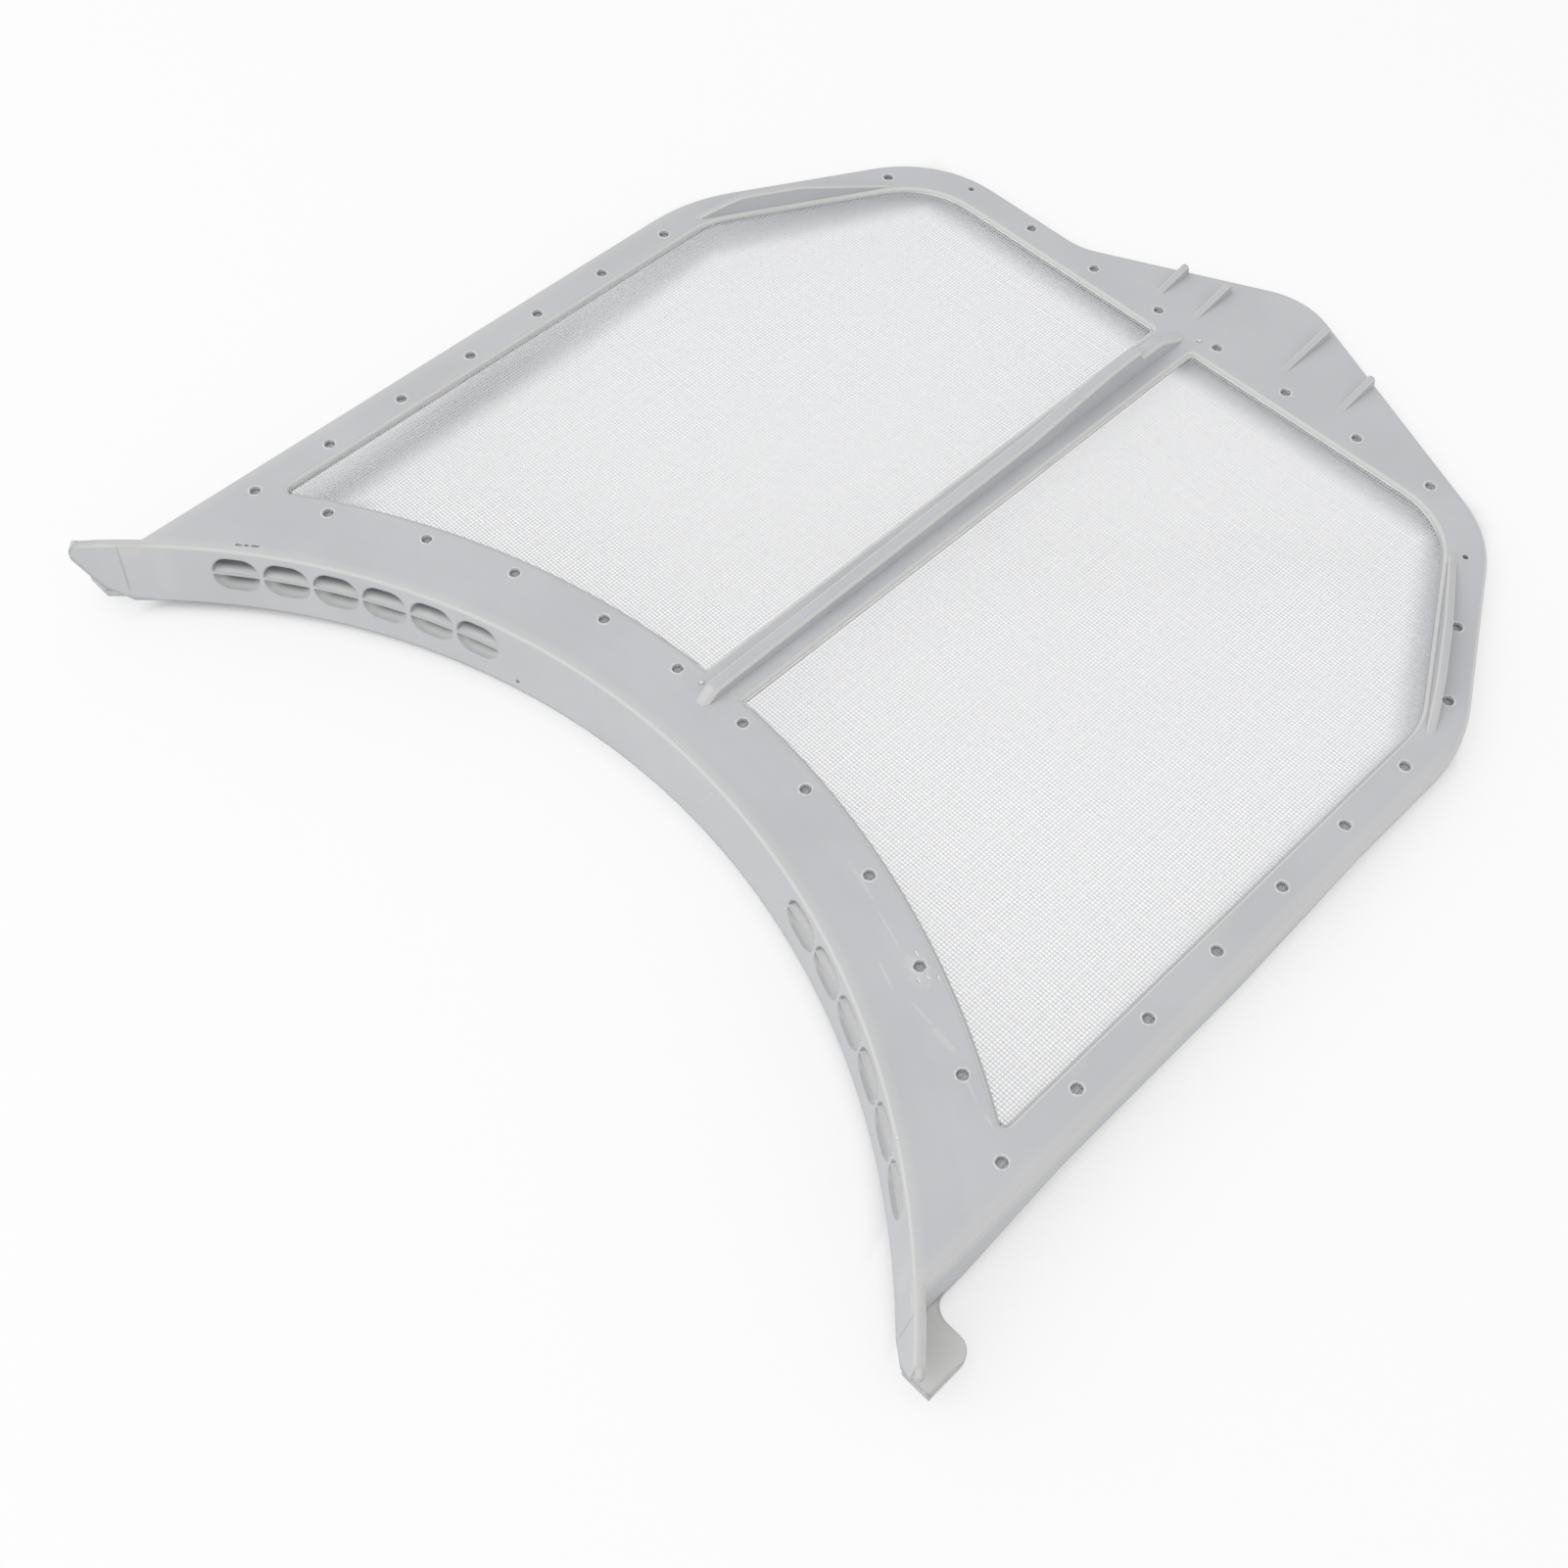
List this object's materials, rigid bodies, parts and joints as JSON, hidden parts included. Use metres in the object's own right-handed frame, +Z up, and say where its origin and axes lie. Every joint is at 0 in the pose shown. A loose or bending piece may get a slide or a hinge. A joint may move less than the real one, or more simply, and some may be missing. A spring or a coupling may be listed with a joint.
{
  "type": "tumble dryer lint filter",
  "caption": "Flat moulded filter frame with a curved vented collar, side skirts, a centre rib and an off-centre tongue, holding a fine woven screen that catches lint.",
  "frame": {"origin": "middle of the bounding box's bottom, with the filter lying as it comes to rest on a level floor: on the collar's lower edge and the tongue's rear edge", "axes": "+X across the filter, +Y from the collar to the tongue, +Z up; the plate leans 4 degrees down towards +Y"},
  "size_m": [0.32, 0.3194, 0.0245],
  "materials": {
    "frame_plastic": "satin",
    "screen_cloth": "woven"
  },
  "bodies": {
    "root": {"moulded_frame": "frame_plastic", "mesh_screen": "screen_cloth"}
  },
  "joints": []
}
